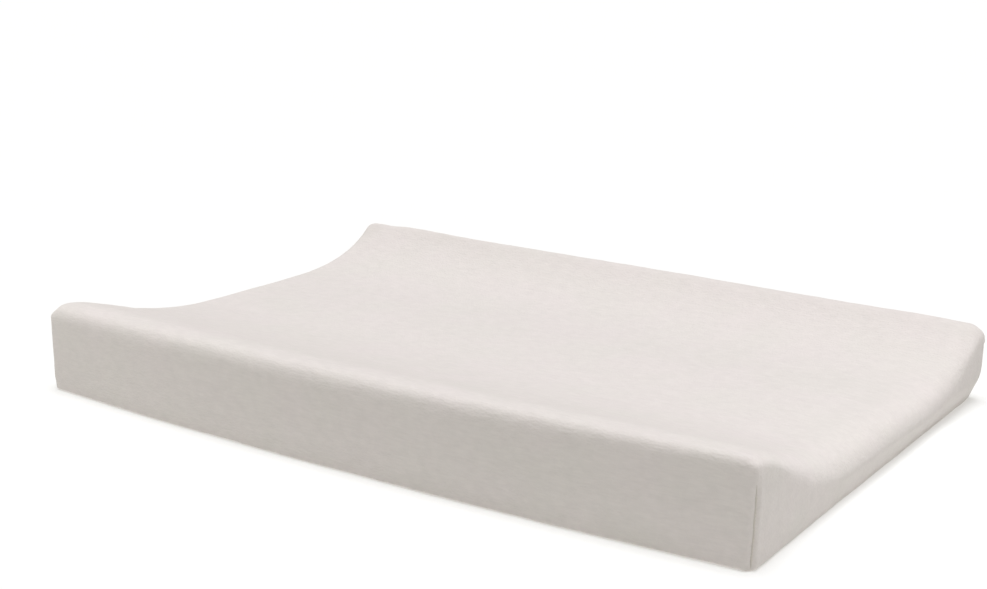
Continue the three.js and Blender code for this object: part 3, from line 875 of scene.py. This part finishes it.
def textured(points, faces, count, paths):
    """The cloth's own unevenness: soft waves, dimples and tufts, and the grooves of the corner seams.
    Only the first count points move."""
    normals = normals_of(points, faces)[:count]
    moved = points[:count]
    upright = 1 - np.abs(normals[:, 2])
    waves = WAVE_HEIGHT * noise_at(moved, WAVE_SIZE, 1) * (0.35 + 0.65 * upright)
    dimples = DIMPLE_HEIGHT * noise_at(moved, DIMPLE_SIZE, 2)
    tufts = TUFT_HEIGHT * noise_at(moved, TUFT_SIZE, 4)
    offset = waves + dimples + tufts
    for path in paths.values():
        near = np.linalg.norm(moved[:, :2] - path[0, :2], axis=1) < SEAM_NEAR
        away = np.linalg.norm(moved[near][:, None] - path[None, ::2], axis=2).min(axis=1)
        groove = -SEAM_DEPTH * np.exp(-((away / SEAM_WIDTH) ** 2))
        puff = PUFF_HEIGHT * np.exp(-(((away - PUFF_PLACE) / PUFF_WIDTH) ** 2))
        offset[near] += groove + puff
    result = points.copy()
    result[:count] += normals * offset[:, None]
    result[:count, 2] = np.maximum(result[:count, 2], np.minimum(points[:count, 2], COVER_FLOOR))
    return result


def make_cover(cloth):
    """The cover as one cloth, with what its seams, its elastic and its stitches need to know of it."""
    points, faces = skin(top_patch(0), side_rows(0, COVER_FLOOR))
    held = list(range(len(points) - FOOT_ROWS * len(RING), len(points)))
    points = swelled(points, faces, held)
    paths = corner_paths(points)
    points, faces = subdivided(points, faces)
    count = len(points)
    loop = open_edge(faces)
    last = points[loop]
    wave = gather_wave(last)
    points, faces = add_rows(points, faces, loop, hem_rows(last, wave))
    points = textured(points, faces, count, paths)
    cover = mesh_object("towelling_cover", points, faces, cloth)
    cover.vertex_groups.new(name="full_thickness").add(list(range(count)), 1.0, "REPLACE")
    solid = cover.modifiers.new("thickness", "SOLIDIFY")
    solid.thickness = COVER_THICK
    solid.offset = -1
    solid.vertex_group = "full_thickness"
    solid.thickness_vertex_group = HEM_THICK_SHARE
    surface = BVHTree.FromPolygons([Vector(p) for p in points], faces)
    return cover, surface, paths, last, wave


def make_corner_seams(surface, paths, material):
    """The sewn ridge in each corner's groove, drawn tight at every stitch."""
    made = []
    for name, path in paths.items():
        snapped = np.array([surface.find_nearest(Vector(p))[0] for p in path])
        along = lengths_along(snapped)
        ends = smooth(along, 0, LOWER_TAPER) * smooth(along[-1] - along, 0, UPPER_TAPER)
        pinched = 1 + SEAM_PINCH * np.sin(2 * math.pi * along / SEAM_STITCH)
        radius = SEAM_RADIUS * (0.25 + 0.75 * ends) * pinched
        seam = mesh_object(f"sewn_corner_{name}", *tube(snapped, radius, SEAM_SIDES), material)
        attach(seam, "cover")
        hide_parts(f"corner_seam_{name}")
        made.append(seam)
    return made


def make_elastic(last, wave, material):
    """The band inside the hem's casing, ribbed by the rubber cords in it."""
    bottom = HEM_SAG + HEM_WAVE * wave + COVER_THICK * HEM_THICK_SHARE + BAND_GAP
    rows = []
    for share in np.linspace(0, 1, 4 * ELASTIC_RIBS + 1):
        rib = RIB_HEIGHT * math.sin(2 * math.pi * ELASTIC_RIBS * share) ** 2
        places = opening_edge(last, ELASTIC_EDGE + ELASTIC_WIDTH * share)
        rows.append(at_height(places, bottom + BAND_THICK + rib))
    points, faces = add_rows(rows[0], [], list(range(len(last))), rows[1:])
    band = mesh_object("elastic_band", *thickened(points, faces, BAND_THICK), material)
    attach(band, "cover")
    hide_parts("hem_elastic")
    return band


def make_label(material):
    """A blank satin label whose upper edge is sewn under the hem."""
    rows = []
    across = np.linspace(LABEL_LOW.x, LABEL_HIGH.x, 21)
    for y in np.linspace(LABEL_HIGH.y + LABEL_SEWN, LABEL_LOW.y, 27):
        free = (LABEL_HIGH.y - y) / (LABEL_HIGH.y - LABEL_LOW.y)
        curl = LABEL_CURL * np.sin(across * 190 + free * 2.2) * smooth(free, 0, 0.5)
        z = LABEL_HEIGHT + curl + LABEL_RISE * smooth(free, 0, 0.3)
        rows.append(np.column_stack([across, np.full(len(across), y), z]))
    points, faces = sheet_of(rows)
    cloth = thickened(points, [face[::-1] for face in faces], LABEL_THICK)
    label = mesh_object("satin_label", *cloth, material)
    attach(label, "cover")
    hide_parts("care_label")


def make_hem_stitches(surface, last, material):
    """The line of stitches that closes the elastic's casing, and the one that holds the label."""
    seam = opening_edge(last, CASING_WIDTH - 2 * MM)
    path = []
    for x, y in np.vstack([seam, seam[:1]]):
        hit = surface.ray_cast(Vector((x, y, -10 * MM)), Vector((0, 0, 1)))[0]
        path.append((x, y, hit.z if hit else HEM_SAG))
    shapes = [stitches(path, HEM_STITCH, HEM_THREAD, (0, 0, -0.08 * MM))]
    y = LABEL_HIGH.y + LABEL_SEAM
    ends = [(LABEL_LOW.x + MM, y, 0.3 * MM), (LABEL_HIGH.x - MM, y, 0.3 * MM)]
    shapes.append(stitches(ends, LABEL_STITCH, LABEL_THREAD, (0, 0, -0.06 * MM)))
    made = mesh_object("hem_stitches", *gathered(shapes), material)
    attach(made, "cover")
    return made


# ---------------------------------------------------------------- the liner and the foam

SEAM_GAP = 0.5 * MM  # from the liner's seam to each panel's edge
PANEL_GAP = 0.15 * MM  # from the middle to each base panel
BROAD_HEIGHT = 0.45 * MM  # of the film's broad wrinkles
BROAD_SIZE = 60 * MM
SMALL_HEIGHT = 0.22 * MM
SMALL_SIZE = 17 * MM
SMALL_STRETCH = 0.35  # a pattern is drawn out upwards by 1 over this
PUCKER_HEIGHT = 0.3 * MM
PUCKER_SIZE = 6 * MM
PUCKER_STRETCH = 0.25
PUCKER_REACH = 8 * MM  # above and below the seam
BEAD_STEP = 2.2 * MM
CASING_SLOPE = 2.5 * MM  # how far the liner takes to climb over the casing
CHANNEL_SLOPE = 3 * MM  # and to climb into the zip's channel
LOW_LAYER = 1.5 * MM  # what is lower than this rests on the label


def channel_edge(row, margin):
    return rounded_outline(row, CHANNEL_X + margin, CHANNEL_Y + margin, 4 * MM)


def base_rows(row, grow, channel_roof):
    """From the foot of the wall inwards to the zip's slot: under the hem, over its casing, down to the
    surface, and up again into the zip's channel. grow is how far inside the liner's outer face this lies."""
    edge = CASING_MARGIN + grow
    stations = [
        (opening_edge(row, CASING_WIDTH + edge), HEM_ROOF + grow, 4),
        (opening_edge(row, CASING_WIDTH + edge - CASING_SLOPE), CASING_ROOF + grow, 4),
        (opening_edge(row, CASING_SLOPE - edge), CASING_ROOF + grow, 4),
        (opening_edge(row, -edge), grow, 4),
        (channel_edge(row, grow), grow, 22),
        (channel_edge(row, grow - CHANNEL_SLOPE), channel_roof, 4),
        (rounded_outline(row, SLOT_X, SLOT_Y, 2 * MM), channel_roof, 4),
    ]
    rows = []
    here, height = row[:, :2], row[:, 2]
    for places, z, steps in stations:
        for share in np.linspace(0, 1, steps + 1)[1:]:
            rows.append(at_height(mix(here, places, share), mix(height, z, smooth(share))))
        here, height = places, z
    return rows


def pressed_by_label(points, low):
    """The points, with those of them that lie low pressed up where the label is under them."""
    x = (LABEL_LOW.x + LABEL_HIGH.x) / 2
    half = (LABEL_HIGH.x - LABEL_LOW.x) / 2
    slope = PRESS_ROOM - PRESS_FLAT
    across = smooth(half + PRESS_ROOM - np.abs(points[:, 0] - x), 0, slope)
    along = smooth(points[:, 1] - LABEL_LOW.y + PRESS_ROOM, 0, slope)
    points[:, 2] += LABEL_PRESS * (across * along) * low
    return points


def creased(points, faces, strength=1.0):
    """A film's slight wrinkles, closer together where it is gathered into the seam round its base."""
    normals = normals_of(points, faces)
    near_seam = np.exp(-np.abs(points[:, 2] - LINER_SEAM_HEIGHT) / PUCKER_REACH)
    broad = BROAD_HEIGHT * noise_at(points, BROAD_SIZE, 11)
    small = SMALL_HEIGHT * noise_at(points * (1, 1, SMALL_STRETCH), SMALL_SIZE, 12)
    puckers = PUCKER_HEIGHT * noise_at(points * (1, 1, PUCKER_STRETCH), PUCKER_SIZE, 13) * near_seam
    inwards = -np.abs(broad + small + puckers) * strength
    return points + normals * inwards[:, None]


def make_liner_top(material):
    """The liner's upper panel, down to its seam, with the piping that is sewn into it."""
    inset, floor = LINER_INSET, HEM_ROOF
    seam = wall_place(inset, floor, LINER_SEAM_HEIGHT + SEAM_GAP)
    rows = shoulder_rows(inset, floor) + wall_rows(inset, floor, 1, seam, WALL_STEPS - 1)
    points, faces = subdivided(*skin(top_patch(inset), rows))
    panel = thickened(creased(points, faces), faces, LINER_THICK)
    inset += PIPING_INSET
    middle = edge_row(inset, floor, wall_place(inset, floor, LINER_SEAM_HEIGHT))
    bead = evenly_spaced(np.vstack([middle, middle[:1]]), BEAD_STEP)[:-1]
    along = np.arange(len(bead))
    piping = tube(bead, PIPING_RADIUS * (1 + 0.05 * np.sin(along * 1.9)), 10, closed=True)
    made = mesh_object("liner_upper_panel", *gathered([panel, piping]), material)
    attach(made, "pad")
    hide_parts("liner_top")


def make_liner_base(side, material):
    """Half of the liner's base, from its seam in the wall under the pad to the zip."""
    inset, floor = LINER_INSET, HEM_ROOF
    seam = wall_place(inset, floor, LINER_SEAM_HEIGHT - SEAM_GAP)
    rows = wall_rows(inset, floor, seam, -1, 2) + foot_rows(inset, floor)
    rows += base_rows(rows[-1], 0, CHANNEL_HEIGHT)
    points, faces = subdivided(*sheet_of([row[HALVES[side]] for row in rows]))
    wrinkled = creased(points, faces, 0.7)
    wrinkled[:, 2] = np.maximum(wrinkled[:, 2], 0)
    wrinkled = pressed_by_label(wrinkled, points[:, 2] < LOW_LAYER)
    wrinkled[:, 1] += -PANEL_GAP if side == "front" else PANEL_GAP
    points, faces = thickened(wrinkled, faces, LINER_THICK)
    points[:, 2] = np.maximum(points[:, 2], 0)
    made = mesh_object(f"liner_{side}_base_panel", points, faces, material)
    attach(made, "pad")
    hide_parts(f"liner_base_{side}")


def make_foam(material):
    """The block of foam, with what lies under it pressed into its underside."""
    inset = FOAM_INSET
    grow = inset - LINER_INSET
    floor = HEM_ROOF + grow
    rows = side_rows(inset, floor)
    below = base_rows(rows[-1], grow, TAPE_ROOF)
    slot = at_height(below[-1][:, :2], SLIDER_ROOF)
    points, faces = skin(top_patch(inset), rows + below + [slot])
    faces.append(tuple(range(len(points) - len(slot), len(points))))
    wear = np.abs(noise_at(points, 30 * MM, 21)) * FOAM_WEAR
    points = points - normals_of(points, faces) * wear[:, None]
    points = pressed_by_label(points, points[:, 2] < grow + LOW_LAYER)
    made = mesh_object("foam_block", points, faces, material)
    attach(made, "pad")
    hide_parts("foam_core")


# ---------------------------------------------------------------- the zip

COIL_PITCH = 1.9 * MM
WIRE_RADIUS = 0.33 * MM
WIRE_POINTS = 12  # in one turn of a coil
WIRE_SIDES = 6
TAPE_SINK = 0.35 * MM  # from the CAD tape's top to the woven one's
TAPE_THICK = TAPE_HIGH.z - TAPE_LOW.z - 0.2 * MM
TAPE_RIPPLE = 0.06 * MM
CORD_HEIGHT = 0.1 * MM
SELVAGE_HEIGHT = 0.5  # as a share of the cord's
STITCH_MARGIN = 3 * MM  # from the slot's edge to the stitches
ZIP_STITCH = 3 * MM
ZIP_THREAD = 0.22 * MM


def make_tape(side, material):
    """A woven tape with a thick selvage and the cord that the coil is sewn to."""
    direction = -1 if side == "front" else 1
    across = np.linspace(TAPE_LOW.y, TAPE_HIGH.y, 23)
    share = (across - TAPE_LOW.y) / (TAPE_HIGH.y - TAPE_LOW.y)
    cord = np.exp(-(((share - 0.12) / 0.06) ** 2))
    selvage = SELVAGE_HEIGHT * np.exp(-(((share - 0.96) / 0.04) ** 2))
    along = np.linspace(TAPE_LOW.x, TAPE_HIGH.x, 184)
    rows = []
    for y, lift in zip(across, cord + selvage):
        ripple = TAPE_RIPPLE * np.sin(along * 700 + y * 900)
        z = TAPE_HIGH.z - TAPE_SINK + ripple + CORD_HEIGHT * lift
        rows.append(np.column_stack([along, np.full(len(along), direction * y), z]))
    points, faces = sheet_of(rows)
    if direction < 0:
        faces = [face[::-1] for face in faces]
    made = mesh_object(f"woven_tape_{side}", *thickened(points, faces, TAPE_THICK), material)
    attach(made, "pad")
    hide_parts(f"zip_tape_{side}")


def make_coil(side, material):
    """One side of the chain: a wound coil whose turns lie between the other side's."""
    direction = -1 if side == "front" else 1
    start, end = COIL_LOW.x, COIL_HIGH.x
    turns = int((end - start) / COIL_PITCH)
    angle = np.arange(turns * WIRE_POINTS + 1) * 2 * math.pi / WIRE_POINTS
    phase = 0.0 if direction > 0 else 0.5
    reach = (COIL_HIGH.y - COIL_LOW.y) / 2 - WIRE_RADIUS
    rise = (COIL_HIGH.z - COIL_LOW.z) / 2 - WIRE_RADIUS
    x = start + COIL_PITCH * (angle / (2 * math.pi) + 0.25 + phase)
    y = direction * ((COIL_HIGH.y + COIL_LOW.y) / 2 + reach * np.cos(angle))
    z = (COIL_HIGH.z + COIL_LOW.z) / 2 + rise * np.sin(angle)
    coil = tube(np.column_stack([x, y, z]), WIRE_RADIUS, WIRE_SIDES)
    made = mesh_object(f"nylon_coil_{side}", *coil, material)
    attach(made, "pad")
    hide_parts(f"zip_coil_{side}")


def make_zip_stitches(material):
    """The stitching that holds each tape to the edge of its base panel."""
    shapes = []
    reach = SLOT_X - STITCH_MARGIN
    z = CHANNEL_HEIGHT - 0.02 * MM
    for y in (-SLOT_Y - STITCH_MARGIN, SLOT_Y + STITCH_MARGIN):
        ends = [(-reach, y, z), (reach, y, z)]
        shapes.append(stitches(ends, ZIP_STITCH, ZIP_THREAD, (0, 0, -0.1 * MM)))
    made = mesh_object("zip_stitches", *gathered(shapes), material)
    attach(made, "pad")


def refined_copy(name, node, rounding, material, body):
    """A CAD solid's copy, with its edges rounded."""
    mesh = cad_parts[node].data.copy()
    shape = bmesh.new()
    shape.from_mesh(mesh)
    bmesh.ops.remove_doubles(shape, verts=shape.verts, dist=0.002 * MM)
    bmesh.ops.dissolve_limit(shape, angle_limit=math.radians(2), verts=shape.verts, edges=shape.edges)
    shape.to_mesh(mesh)
    shape.free()
    mesh.materials.clear()
    mesh.materials.append(material)
    mesh.shade_smooth()
    made = linked(name, mesh)
    bevel = made.modifiers.new("edges", "BEVEL")
    bevel.width = rounding
    bevel.segments = 3
    bevel.limit_method = "ANGLE"
    bevel.harden_normals = True
    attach(made, body)
    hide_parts(node)


def make_zip():
    twill = woven_tape()
    wire = nylon()
    metal = nickel()
    for side in ("front", "rear"):
        make_tape(side, twill)
        make_coil(side, wire)
        refined_copy(f"crimped_stop_{side}", f"zip_top_stop_{side}", 0.3 * MM, metal, "pad")
    refined_copy("crimped_end_stop", "zip_bottom_stop", 0.4 * MM, metal, "pad")
    refined_copy("slider_casting", "zip_slider", 0.25 * MM, metal, "zip_slider")
    refined_copy("slider_tab", "zip_pull", 0.3 * MM, metal, "zip_pull")
    make_zip_stitches(thread("zip_thread", ZIP_THREAD_COLOR))


# ---------------------------------------------------------------- the whole pad

make_foam(open_foam())
film = liner_film()
make_liner_top(film)
for half in HALVES:
    make_liner_base(half, film)
make_zip()

cover, cover_surface, seam_paths, hem_start, hem_wave = make_cover(towelling("towelling", TERRY_COLOR))
# The seams are the same cloth in a darker tone: painted shade of their grooves.
seams = make_corner_seams(cover_surface, seam_paths, towelling("sewn_edge_painted_shade", SEAM_SHADE_COLOR))
band = make_elastic(hem_start, hem_wave, knitted_elastic())
make_label(satin())
hem = make_hem_stitches(cover_surface, hem_start, thread("hem_thread", HEM_THREAD_COLOR))
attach(cover, "cover")
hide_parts("terry_cover", "cover_hem")

# ---------------------------------------------------------------- camera, light and floor

CAMERA_PLACE = Vector((0.7634, -1.0953, 0.4344))
CAMERA_AZIMUTH = math.radians(35.56)
CAMERA_ELEVATION = math.radians(14.38)
CAMERA_LENS = 56.5  # millimetres
SENSOR_WIDTH = 36  # millimetres

SOFTBOX_POWER = 3.48
SOFTBOX_SPREAD = math.radians(36)
LEFT_POWER = 0.2
RIGHT_POWER = 0.31
PANEL_SIZE = 0.3
WALL_GLOW = 0.6  # of the studio's pale walls, seen past the floor
CEILING_GLOW = 0.03
WALL_TOP = (0.12, 0.26)  # the slopes between which the wall's glow fades into the ceiling's
GLOW_COLOR = (1.0, 0.95, 0.8)
FLOOR_COLOR = (0.495, 0.505, 0.505)
FLOOR_GLOW = 0.45
FLOOR_GLOW_COLOR = (1, 0.98, 0.94)
FLOOR_HALF = 20


def make_camera():
    data = bpy.data.cameras.new("camera")
    data.lens = CAMERA_LENS
    data.sensor_width = SENSOR_WIDTH
    camera = linked("camera", data)
    level = math.cos(CAMERA_ELEVATION)
    x = -math.sin(CAMERA_AZIMUTH) * level
    y = math.cos(CAMERA_AZIMUTH) * level
    ahead = Vector((x, y, -math.sin(CAMERA_ELEVATION)))
    camera.location = CAMERA_PLACE
    camera.rotation_euler = ahead.to_track_quat("-Z", "Y").to_euler()
    bpy.context.scene.camera = camera


def make_light(name, kind, power, color):
    data = bpy.data.lights.new(name, kind)
    data.energy = power
    data.color = color
    return linked(name, data)


def make_panel(name, power, color, place, target):
    """A small soft panel of light that faces a target."""
    panel = make_light(name, "AREA", power, color)
    panel.data.shape = "DISK"
    panel.data.size = PANEL_SIZE
    panel.location = place
    panel.rotation_euler = (Vector(target) - Vector(place)).to_track_quat("-Z", "Y").to_euler()


def make_studio():
    """A wide softbox straight above, a small panel beside each end, and pale walls."""
    world = bpy.data.worlds.new("studio")
    world.use_nodes = True
    tree = world.node_tree
    background = tree.nodes["Background"]
    direction = add_node(tree, "TexCoord").outputs["Generated"]
    slope = add_node(tree, "SeparateXYZ", {"Vector": direction}).outputs["Z"]
    low, high = WALL_TOP
    wall = {"Value": slope, "From Min": low, "From Max": high, "To Min": WALL_GLOW, "To Max": CEILING_GLOW}
    glow = add_node(tree, "MapRange", wall, interpolation_type="SMOOTHSTEP").outputs["Result"]
    set_socket(tree, background.inputs["Strength"], glow)
    set_socket(tree, background.inputs["Color"], GLOW_COLOR)
    bpy.context.scene.world = world
    softbox = make_light("softbox", "SUN", SOFTBOX_POWER, (0.98, 0.975, 0.995))
    softbox.data.angle = SOFTBOX_SPREAD
    make_panel("left_fill", LEFT_POWER, (1, 0.98, 0.96), (-0.5, -0.62, 0.25), (-0.3, -0.2, 0.04))
    make_panel("right_fill", RIGHT_POWER, (0.98, 0.95, 1), (0.77, -0.03, 0.24), (0.35, 0.02, 0.04))
    bpy.context.scene.view_settings.view_transform = "Standard"


def make_floor():
    material, tree = new_material("pale_floor")
    shader = tree.nodes["Principled BSDF"]
    shader.inputs["Base Color"].default_value = (*FLOOR_COLOR, 1)
    shader.inputs["Roughness"].default_value = 0.9
    shader.inputs["Specular IOR Level"].default_value = 0.0
    shader.inputs["Emission Color"].default_value = (*FLOOR_GLOW_COLOR, 1)
    shader.inputs["Emission Strength"].default_value = FLOOR_GLOW
    corners = [(x * FLOOR_HALF, y * FLOOR_HALF, 0) for x, y in ((-1, -1), (1, -1), (1, 1), (-1, 1))]
    floor = mesh_object("floor", corners, [(0, 1, 2, 3)], material)


make_camera()
make_studio()
make_floor()
